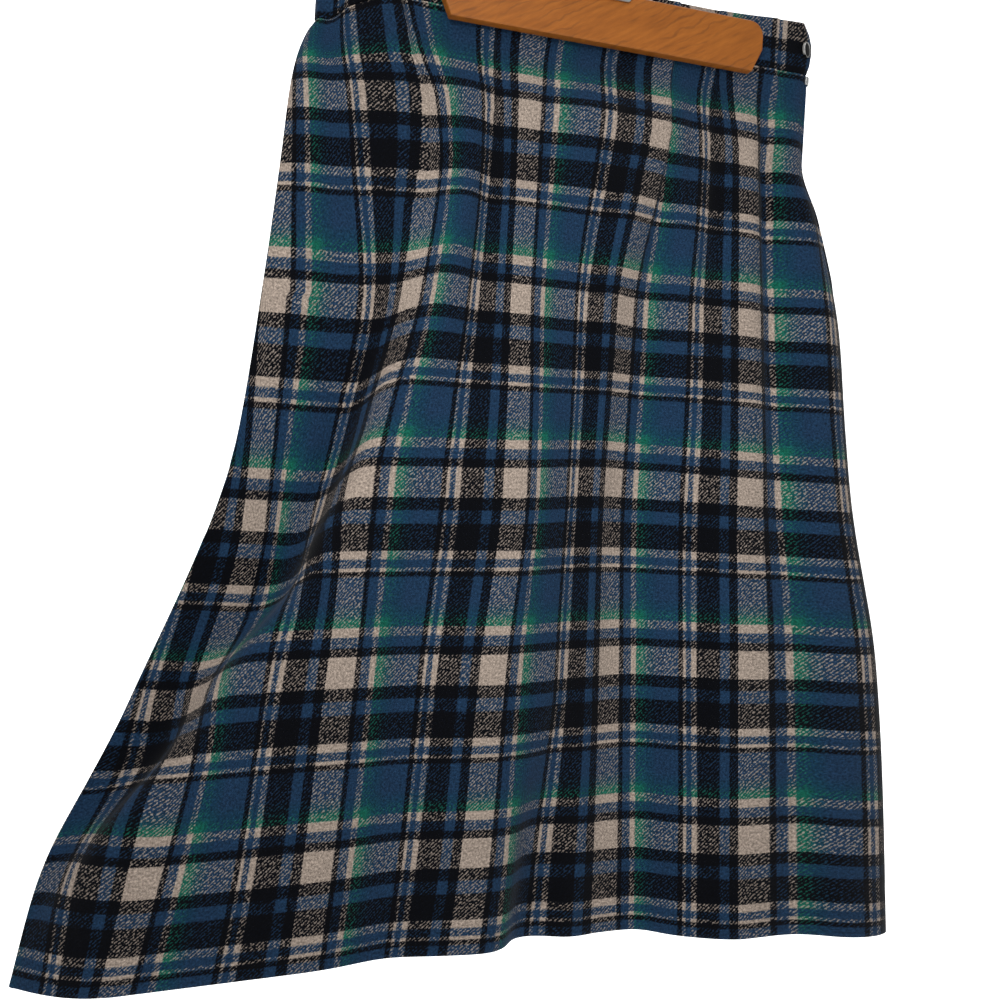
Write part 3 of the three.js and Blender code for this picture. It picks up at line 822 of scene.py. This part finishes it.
def tartanFinish(name, creamAcross, creamDown):
    finish = Finish(name, Roughness=0.95, Sheen_Weight=0.03, Sheen_Roughness=0.5)
    finish.surface.inputs["Specular IOR Level"].default_value = 0.08
    place = finish.node("UVMap", {"uv_map": "cloth"})
    across, warp = stripes(finish, place, 0, creamAcross, tartan["acrossRepeat"], 1, False)
    down, weft = stripes(finish, place, 1, creamDown, tartan["downRepeat"], 2, True)
    rib = finish.fraction((across + down) / (tartan["twill"] * mm))
    wave = (rib * 2 - 1).sum("ABSOLUTE")
    fleck = finish.noise(place, tartan["fleck"], 2, 0.6)
    over = wave * 0.7 + (fleck - 0.5) * 2.6
    over = finish.step(over, tartan["lightFrom"], tartan["lightTo"])
    over = over * (tartan["mostPale"] - tartan["leastPale"]) + tartan["leastPale"]
    deep = finish.blend(warp, weft, 1.0, "DARKEN")
    pale = finish.blend(warp, weft, 1.0, "LIGHTEN")
    color = finish.blend(deep, pale, over)
    nap = finish.noise(place, tartan["nap"], 3, 0.7)
    cloudy = finish.noise(place, 40, 2)
    shade = 0.98 + (nap - 0.5) * tartan["hairy"] + (cloudy - 0.5) * 0.12
    gray = finish.node("CombineColor", {}, {0: shade, 1: shade, 2: shade})
    color = finish.blend(color, gray, 1.0, "MULTIPLY")
    color = finish.node("Gamma", {}, {0: color, 1: 2.2})
    height = wave * 0.5 + nap * 0.9 + fleck * 0.5
    finish.put(Base_Color=color, Normal=finish.bump(height, tartan["relief"] * mm, 0.7))
    return finish.material


frontTartan = tartanFinish("front_tartan", tartan["creamAcross"], tartan["creamDown"])
backTartan = tartanFinish("back_tartan", tartan["backCream"], tartan["creamDown"])
bandCream = bandBlack - tartan["blackFromCream"]
bandTartan = tartanFinish("waistband_tartan", bandCream, band["creamDown"])
for piece, material, node, slot in (
    (frontCloth, frontTartan, "front_panel", "tartan_front"),
    (backCloth, backTartan, "back_panel", "tartan_back"),
    (bandCloth, bandTartan, "waistband", "tartan_waistband"),
):
    piece.data.materials.append(material)
    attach(piece, "root")
    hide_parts(node)


def cutArea(left, right):
    # flat area of a panel with its hem turn-up, in square metres
    downs = np.linspace(0, cloth["length"], 60)
    widths = right(downs) - left(downs)
    body = float(np.sum((widths[1:] + widths[:-1]) / 2) * (downs[1] - downs[0]))
    return (body + float(widths[-1]) * cloth["hemTurn"]) * mm * mm


frontWidth = float(rightCut(cloth["length"]) - leftCut(cloth["length"])) * mm
backWidth = float(back["halfWidth"](cloth["length"])) * 2 * mm
frontArea = cutArea(leftCut, rightCut)
backArea = cutArea(backLeft, back["halfWidth"])
print("cut:", round(frontArea, 3), "and", round(backArea, 3), "square metres")


def woodFinish():
    # satin-lacquered orange-brown wood, its fine grain in slanting curves
    finish = Finish("hanger_wood", Coat_Roughness=0.35, Coat_Weight=0.06)
    finish.surface.inputs["Specular IOR Level"].default_value = 0.3
    place = finish.node("TexCoord", {}, None, 3)
    slant = finish.node("Mapping", {}, {0: place, "Rotation": (0, math.radians(32), 0)})
    inputs = {"Vector": slant, "Scale": 46, "Distortion": 8, "Detail": 3, "Detail Scale": 0.8}
    lines = finish.node("TexWave", {"bands_direction": "Z"}, inputs, 1)
    along = finish.node("Mapping", {}, {0: slant, "Scale": (9, 30, 60)})
    grain = finish.noise(along, 5, 5, 0.6)
    tone = finish.ramp(grain, [
        (0.25, fromScreen(122, 67, 15)),
        (0.5, fromScreen(141, 80, 20)),
        (0.75, fromScreen(157, 92, 27)),
    ])
    fade = finish.step(finish.noise(place, 38, 2), 0.42, 0.62)
    dark = finish.step(lines, 0.84, 1.0) * fade * 0.34
    color = finish.blend(tone, fromScreen(78, 42, 16), dark)
    roughness = 0.44 + grain * 0.16
    height = grain * 0.4 - dark * 0.8
    finish.put(Base_Color=color, Roughness=roughness, Normal=finish.bump(height, 0.2 * mm, 0.5))
    return finish.material


def steelFinish(name, tone, roughness):
    finish = Finish(name, Metallic=1.0)
    place = finish.node("TexCoord", {}, None, 3)
    smear = finish.noise(place, 90, 4, 0.6)
    scratch = finish.noise(finish.node("Mapping", {}, {0: place, "Scale": (60, 60, 900)}), 3, 2)
    color = finish.ramp(smear, [(0.3, tuple(c * 0.8 for c in tone)), (0.7, tone)])
    rough = roughness + smear * 0.14 + scratch * 0.06
    finish.put(Base_Color=color, Roughness=rough, Normal=finish.bump(scratch, 0.02 * mm, 0.3))
    return finish.material


steel = steelFinish("hanger_steel", (0.56, 0.57, 0.58), 0.2)
zipMetal = steelFinish("zip_metal", (0.52, 0.52, 0.50), 0.34)
wood = woodFinish()


def selectWhere(piece, kind, test):
    # in edit mode, selects only the faces or edges that pass the test
    mesh = bmesh.from_edit_mesh(piece.data)
    for group in (mesh.faces, mesh.edges, mesh.verts):
        for part in group:
            part.select = False
    for part in getattr(mesh, kind):
        if test(part):
            part.select_set(True)
    bmesh.update_edit_mesh(piece.data)


def middleOf(part):
    return sum((vertex.co for vertex in part.verts), Vector()) / len(part.verts)


def applyPlace(piece):
    makeActive(piece)
    bpy.ops.object.transform_apply(location=True, rotation=True, scale=True)


def startFrom(primitive, name, **sizes):
    # adds a primitive on its own and names it
    bpy.ops.object.select_all(action="DESELECT")
    primitive(**sizes)
    piece = bpy.context.object
    piece.name = piece.data.name = name
    return piece


def applyModifier(piece, kind, **settings):
    modifier = piece.modifiers.new(kind.lower(), kind)
    for key, value in settings.items():
        setattr(modifier, key, value)
    bpy.ops.object.modifier_apply(modifier=modifier.name)


def hand(piece, material, node):
    piece.data.materials.clear()
    piece.data.materials.append(material)
    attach(piece, "root")
    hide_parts(node)


# the two clamp bars
bar = {"cutIn": 8.5, "shoulder": 0.45, "corner": 12, "edge": 1.4}


def clampBar(name, node):
    low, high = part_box(node)
    size, centre = high - low, (high + low) / 2
    piece = startFrom(bpy.ops.mesh.primitive_cube_add, name, size=1, location=centre)
    piece.scale = size
    applyPlace(piece)
    setMode("EDIT")
    rise = size.z * bar["shoulder"]
    for side in (-1, 1):  # the lower corners are cut in
        end = low.x if side < 0 else high.x
        cut = Vector((end - side * bar["cutIn"] * mm, centre.y, low.z))
        lean = Vector((rise, 0, -side * bar["cutIn"] * mm)) * side
        bpy.ops.mesh.select_all(action="SELECT")
        bpy.ops.mesh.bisect(plane_co=cut, plane_no=lean, clear_outer=True, use_fill=True)
    corners = lambda e: (
        abs(middleOf(e).z - high.z) < 1e-5
        and abs(abs(middleOf(e).x - centre.x) - size.x / 2) < 1e-4
        and abs(e.verts[0].co.y - e.verts[1].co.y) > 1e-3
    )
    bpy.ops.mesh.select_mode(type="EDGE")
    selectWhere(piece, "edges", corners)
    bpy.ops.mesh.bevel(offset=bar["corner"] * mm, segments=10, affect="EDGES")
    flat = lambda e: abs(e.verts[0].co.y - e.verts[1].co.y) < 1e-5
    selectWhere(piece, "edges", flat)
    bpy.ops.mesh.bevel(offset=bar["edge"] * mm, segments=4, affect="EDGES")
    setMode("OBJECT")
    smoothBy(piece, 40)
    hand(piece, wood, node)


clampBar("clamp_bar_front", "hanger_bar_front")
clampBar("clamp_bar_back", "hanger_bar_back")
print("clamp bars shaped")


# the button: a dark domed face in a pale metal rim
buttonSizes = {"thick": 3, "rim": 0.85, "dish": 0.8, "shift": 1.9}


def sideButton():
    low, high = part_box("waist_button")
    centre = (low + high) / 2
    radius = (high.z - low.z) / 2
    near = np.searchsorted(frontPoints[0][:, 0], centre.x / mm)
    ahead = frontPoints[0][near + 1] - frontPoints[0][near]
    turn = math.atan2(ahead[1], ahead[0])
    sizes = {"vertices": 48, "radius": radius, "depth": buttonSizes["thick"] * mm}
    piece = startFrom(bpy.ops.mesh.primitive_cylinder_add, "side_button", **sizes)
    setMode("EDIT")
    bpy.ops.mesh.select_mode(type="FACE")
    face = lambda f: f.normal.z > 0.9
    selectWhere(piece, "faces", face)
    bpy.ops.mesh.inset(thickness=buttonSizes["rim"] * mm)
    bpy.ops.transform.translate(value=(0, 0, -buttonSizes["dish"] * mm))
    for share, rise in ((0.22, 0.25), (0.28, 0.18), (0.4, 0.12)):
        bpy.ops.mesh.inset(thickness=radius * share * 0.8)
        bpy.ops.transform.translate(value=(0, 0, rise * mm))
    bpy.ops.mesh.select_mode(type="EDGE")
    rims = lambda e: (
        abs(math.hypot(*middleOf(e).xy) - radius) < 0.15 * mm
        and abs(e.calc_face_angle(0)) > 1
    )
    selectWhere(piece, "edges", rims)
    bpy.ops.mesh.bevel(offset=0.6 * mm, segments=4, affect="EDGES")
    setMode("OBJECT")
    piece.rotation_euler = (math.radians(90), 0, turn)
    piece.location = centre + Vector((buttonSizes["shift"] * mm, 0, 0))
    applyPlace(piece)
    smoothBy(piece, 40)
    return piece


def hornFinish():
    finish = Finish("button_horn", Coat_Weight=0.12, Coat_Roughness=0.2)
    finish.surface.inputs["Specular IOR Level"].default_value = 0.12
    place = finish.node("TexCoord", {}, None, 3)
    cloudy = finish.noise(place, 260, 4, 0.6)
    color = finish.ramp(cloudy, [(0.35, fromScreen(7, 6, 6)), (0.75, fromScreen(20, 17, 15))])
    normal = finish.bump(cloudy, 0.03 * mm, 0.4)
    finish.put(Base_Color=color, Roughness=0.4 + cloudy * 0.14, Normal=normal)
    return finish.material


button = sideButton()
button.data.materials.append(hornFinish())
button.data.materials.append(steelFinish("button_rim", (0.42, 0.41, 0.39), 0.3))
buttonFaces = button.data.polygons
buttonCentre = sum((face.center for face in buttonFaces), Vector()) / len(buttonFaces)
buttonLow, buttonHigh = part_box("waist_button")
rimFrom = (buttonHigh.z - buttonLow.z) / 2 - buttonSizes["rim"] * mm
for face in buttonFaces:
    rim = (face.center - buttonCentre).length > rimFrom and face.normal.y < -0.4
    face.material_index = int(rim)
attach(button, "root")
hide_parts("waist_button")
print("button turned")


# the steel saddle over both bars
saddle = {"sheet": 1.6, "bend": 3.2, "edge": 0.35, "corner": 3}


def hangerSaddle():
    low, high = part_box("hanger_yoke")
    half = saddle["sheet"] * mm / 2
    middle = (0, 0, high.z - half)
    piece = startFrom(bpy.ops.mesh.primitive_plane_add, "hanger_saddle", size=1, location=middle)
    piece.scale = (high.x - low.x, high.y - low.y - 2 * half, 1)
    applyPlace(piece)
    setMode("EDIT")
    bpy.ops.mesh.select_mode(type="EDGE")
    reach = high.y - half
    for side in (-1, 1):
        selectWhere(piece, "edges", lambda e: middleOf(e).y * side > reach - 1e-4)
        drop = {"value": (0, 0, low.z - high.z + half)}
        bpy.ops.mesh.extrude_region_move(TRANSFORM_OT_translate=drop)
    folds = lambda e: abs(middleOf(e).y) > reach - 1e-4 and middleOf(e).z > high.z - 1.1 * half
    selectWhere(piece, "edges", folds)
    bpy.ops.mesh.bevel(offset=saddle["bend"] * mm, segments=8, affect="EDGES")
    corner = lambda v: abs(v.co.z - low.z) < 1e-5
    bpy.ops.mesh.select_mode(type="VERT")
    selectWhere(piece, "verts", corner)
    bpy.ops.mesh.bevel(offset=saddle["corner"] * mm, segments=5, affect="VERTICES")
    setMode("OBJECT")
    applyModifier(piece, "SOLIDIFY", thickness=saddle["sheet"] * mm, offset=0)
    applyModifier(piece, "BEVEL", width=saddle["edge"] * mm, segments=2)
    smoothBy(piece, 40)
    hand(piece, steel, "hanger_yoke")


# the hook: round wire bent from a stem into most of a circle, with a rounded tip
hook = {"wire": 3.8, "radius": 20, "turn": 285, "bend": 5, "sides": 20, "collar": 2.9}


def hookPath(foot):
    line = hook["radius"] + hook["wire"] / 2
    join = math.asin(hook["bend"] / line)
    level = -hook["radius"] - line * math.cos(join) - hook["bend"]
    path = [(0, mix(foot, level, t)) for t in (0, 0.12, 0.13, 0.5, 1)]
    for angle in np.linspace(0, 90 - math.degrees(join) / 2, 9)[1:]:
        turn = math.radians(angle)
        path.append((hook["bend"] * (1 - math.cos(turn)), level + hook["bend"] * math.sin(turn)))
    for angle in np.linspace(-90 + math.degrees(join) + 4, hook["turn"] - 90, 56):
        turn = math.radians(angle)
        path.append((line * math.cos(turn), -hook["radius"] + line * math.sin(turn)))
    return np.array(path)


def wireHook():
    path = hookPath(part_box("hanger_hook")[0].z / mm)
    radius = hook["wire"] / 2
    sizes = {"vertices": hook["sides"], "radius": hook["collar"] * mm, "fill_type": "NGON"}
    foot = (0, 0, path[0, 1] * mm)
    piece = startFrom(bpy.ops.mesh.primitive_circle_add, "wire_hook", location=foot, **sizes)
    applyPlace(piece)
    setMode("EDIT")
    bpy.ops.mesh.select_all(action="SELECT")
    steps = np.diff(path, axis=0)
    headings = np.arctan2(steps[:, 0], steps[:, 1])
    facing = 0
    for k, (x, z) in enumerate(path[1:]):
        ahead = headings[min(k + 1, len(headings) - 1)]
        bpy.ops.mesh.extrude_region_move(
            TRANSFORM_OT_translate={"value": (steps[k, 0] * mm, 0, steps[k, 1] * mm)}
        )
        bend = (headings[k] + ahead) / 2 - facing
        centre = (x * mm, 0, z * mm)
        if abs(bend) > 1e-4:
            bpy.ops.transform.rotate(value=bend, orient_axis="Y", center_override=centre)
        facing += bend
        if k == 1:
            slim = radius / hook["collar"]
            bpy.ops.transform.resize(value=(slim, slim, 1), center_override=centre)
    heading = radius * 0.3 * mm * Vector((math.sin(facing), 0, math.cos(facing)))
    tip = Vector((path[-1][0], 0, path[-1][1])) * mm
    for slim in (0.9, 0.8, 0.6):
        tip = tip + heading
        bpy.ops.mesh.extrude_region_move(TRANSFORM_OT_translate={"value": tuple(heading)})
        bpy.ops.transform.resize(value=(slim, slim, slim), center_override=tip)
    setMode("OBJECT")
    recalculate(piece)
    smoothBy(piece, 50)
    hand(piece, steel, "hanger_hook")


# the zip in the right side seam: a chain of teeth and its slider with a pull
zipper = {"thick": 1.0, "wide": 2.8, "pitch": 2.1, "tooth": 0.35, "from": 1.5}


def seamLine(down):
    height = cloth["seamHeight"] - float(frontDrop(rightCut(down), down))
    return Vector((float(rightSeam(down)), 0, height)) * mm


def zipChain():
    length = cloth["zipLength"]
    count = round(length / zipper["pitch"]) * 2
    places = [seamLine(mix(zipper["from"], length, k / count)) for k in range(count + 1)]
    piece = startFrom(bpy.ops.mesh.primitive_plane_add, "zip_chain", size=1, location=places[0])
    piece.scale = (zipper["thick"] * mm, zipper["wide"] * mm, 1)
    applyPlace(piece)
    setMode("EDIT")
    bpy.ops.mesh.select_all(action="SELECT")
    for here, after in zip(places, places[1:]):
        bpy.ops.mesh.extrude_region_move(TRANSFORM_OT_translate={"value": tuple(after - here)})
    bpy.ops.mesh.select_all(action="SELECT")
    bpy.ops.mesh.normals_make_consistent(inside=False)
    bpy.ops.mesh.select_mode(type="FACE")
    level = lambda f: round(middleOf(f).z, 6)
    heights = sorted({level(f) for f in bmesh.from_edit_mesh(piece.data).faces}, reverse=True)
    order = {height: k for k, height in enumerate(heights)}
    teeth = lambda f: abs(f.normal.x) > 0.7 and order[level(f)] % 2 == 1
    selectWhere(piece, "faces", teeth)
    bpy.ops.mesh.extrude_region_shrink_fatten(
        TRANSFORM_OT_shrink_fatten={"value": zipper["tooth"] * mm}
    )
    setMode("OBJECT")
    smoothBy(piece, 30)
    hand(piece, zipMetal, "side_zip")


slider = {
    "below": 4.2,  # under the waist seam
    "from": (-3.2, -2.6, 0),
    "body": (2.2, 5.6, 6.4),
    "edge": 0.5,
    "taper": 0.7,
    "bridge": (1.2, 1.6, 4),
    "bridgeAt": (1.1, 0, 1.6),
    "pull": (0.9, 3.4, 7),
    "pullAt": (2.0, 0, -0.8),
    "pullRim": 0.6,
}


def roundedBlock(size, centre, edge):
    block = startFrom(bpy.ops.mesh.primitive_cube_add, "zip_puller", size=1, location=centre)
    block.scale = Vector(size) * mm
    applyPlace(block)
    setMode("EDIT")
    bpy.ops.mesh.select_all(action="SELECT")
    bpy.ops.mesh.bevel(offset=edge * mm, segments=3, affect="EDGES")
    setMode("OBJECT")
    return block


def zipSlider():
    low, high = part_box("zip_slider")
    centre = (low + high) / 2 + Vector(slider["from"]) * mm
    centre.z = (cloth["seamHeight"] - slider["below"]) * mm
    body = roundedBlock(slider["body"], centre, slider["edge"])
    setMode("EDIT")
    foot = lambda v: v.co.z < centre.z - 2 * mm
    selectWhere(body, "verts", foot)
    bpy.ops.transform.resize(value=(1, slider["taper"], 1), center_override=centre)
    setMode("OBJECT")
    bridge = roundedBlock(slider["bridge"], centre + Vector(slider["bridgeAt"]) * mm, 0.3)
    leaf = centre + Vector(slider["pullAt"]) * mm
    pull = roundedBlock(slider["pull"], leaf, 0.35)
    setMode("EDIT")
    bpy.ops.mesh.select_mode(type="FACE")
    broad = lambda f: abs(f.normal.x) > 0.9
    selectWhere(pull, "faces", broad)
    bpy.ops.mesh.inset(thickness=slider["pullRim"] * mm)
    bpy.ops.transform.resize(value=(0.6, 1, 1), center_override=leaf)
    setMode("OBJECT")
    bpy.ops.object.select_all(action="DESELECT")
    for part in (bridge, pull, body):
        part.select_set(True)
    bpy.context.view_layer.objects.active = body
    bpy.ops.object.join()
    smoothBy(body, 40)
    hand(body, zipMetal, "zip_slider")


hangerSaddle()
wireHook()
zipChain()
zipSlider()
print("hook, saddle and zip made")


# floor, light and camera
bpy.context.scene.view_settings.view_transform = "Standard"
studio = {
    "floor": -1.25,
    "wall": 3.2,
    "reach": 5,
    "rise": 4,
    "round": 1.2,
    "paper": (0.86, 0.86, 0.86, 1),
    "glow": 0.62,
    "air": 0.26,
}


def backdrop():
    sizes = {"size": 2 * studio["reach"], "location": (0, 0, studio["floor"])}
    sweep = startFrom(bpy.ops.mesh.primitive_plane_add, "studio_floor", **sizes)
    setMode("EDIT")
    bpy.ops.mesh.select_mode(type="EDGE")
    selectWhere(sweep, "edges", lambda e: middleOf(e).y > studio["reach"] - 0.01)
    bpy.ops.transform.translate(value=(0, studio["wall"] - studio["reach"], 0))
    bpy.ops.mesh.extrude_region_move(TRANSFORM_OT_translate={"value": (0, 0, studio["rise"])})
    setMode("OBJECT")
    applyModifier(sweep, "BEVEL", width=studio["round"], segments=16)
    bpy.ops.object.shade_smooth()
    finish = Finish("studio_paper", Roughness=0.9, Emission_Strength=studio["glow"])
    finish.surface.inputs["Base Color"].default_value = studio["paper"]
    finish.surface.inputs["Emission Color"].default_value = (1, 1, 1, 1)
    sweep.data.materials.append(finish.material)
    sweep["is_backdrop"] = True


def hangLight(name, kind, place, target, power, **settings):
    data = bpy.data.lights.new(name, kind)
    data.energy = power
    for key, value in settings.items():
        setattr(data, key, value)
    lamp = bpy.data.objects.new(name, data)
    bpy.context.scene.collection.objects.link(lamp)
    lamp.location = place
    lamp.rotation_euler = (Vector(target) - Vector(place)).to_track_quat("-Z", "Y").to_euler()


backdrop()
skirtMiddle = (0, 0, -0.4)
spot = {"spot_size": math.radians(23), "spot_blend": 1, "shadow_soft_size": 0.22}
hangLight("key", "AREA", (-1.5, -1.9, 0.9), skirtMiddle, 26, size=1.2)
hangLight("fill", "AREA", (1.9, -2.0, 0.2), (0, 0, -0.5), 3, size=1.8)
hangLight("top", "AREA", (0, -0.4, 2.2), skirtMiddle, 30, size=2.2)
hangLight("middle", "SPOT", (-0.9, -2.2, 0.3), skirtMiddle, 150, **spot)
behind = {"shape": "RECTANGLE", "size": 2.5, "size_y": 1.2}
hangLight("behind", "AREA", (0.4, 1.4, 1.5), (0, 3.0, -0.6), 60, **behind)
world = bpy.data.worlds.new("studio_air")
world.use_nodes = True
world.node_tree.nodes["Background"].inputs[0].default_value = (0.93, 0.95, 1, 1)
world.node_tree.nodes["Background"].inputs[1].default_value = studio["air"]
bpy.context.scene.world = world

view = {"place": (-0.3462, -0.9013, -0.480), "turn": 17.5, "roll": 3.44, "lens": 43.2}


def placeCamera():
    turn, roll = math.radians(view["turn"]), math.radians(view["roll"])
    ahead = Vector((math.sin(turn), math.cos(turn), 0))
    level = Vector((math.cos(turn), -math.sin(turn), 0))
    right = level * math.cos(roll) + Vector((0, 0, 1)) * math.sin(roll)
    up = Vector((0, 0, 1)) * math.cos(roll) - level * math.sin(roll)
    data = bpy.data.cameras.new("camera")
    data.lens = view["lens"]
    data.sensor_width = 36
    data.clip_start = 0.01
    camera = bpy.data.objects.new("camera", data)
    bpy.context.scene.collection.objects.link(camera)
    camera.matrix_world = Matrix(
        [[right[i], up[i], -ahead[i], view["place"][i]] for i in range(3)] + [[0, 0, 0, 1]]
    )
    bpy.context.scene.camera = camera


placeCamera()
visualBox = [list(corner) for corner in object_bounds()]
print("ready to render")
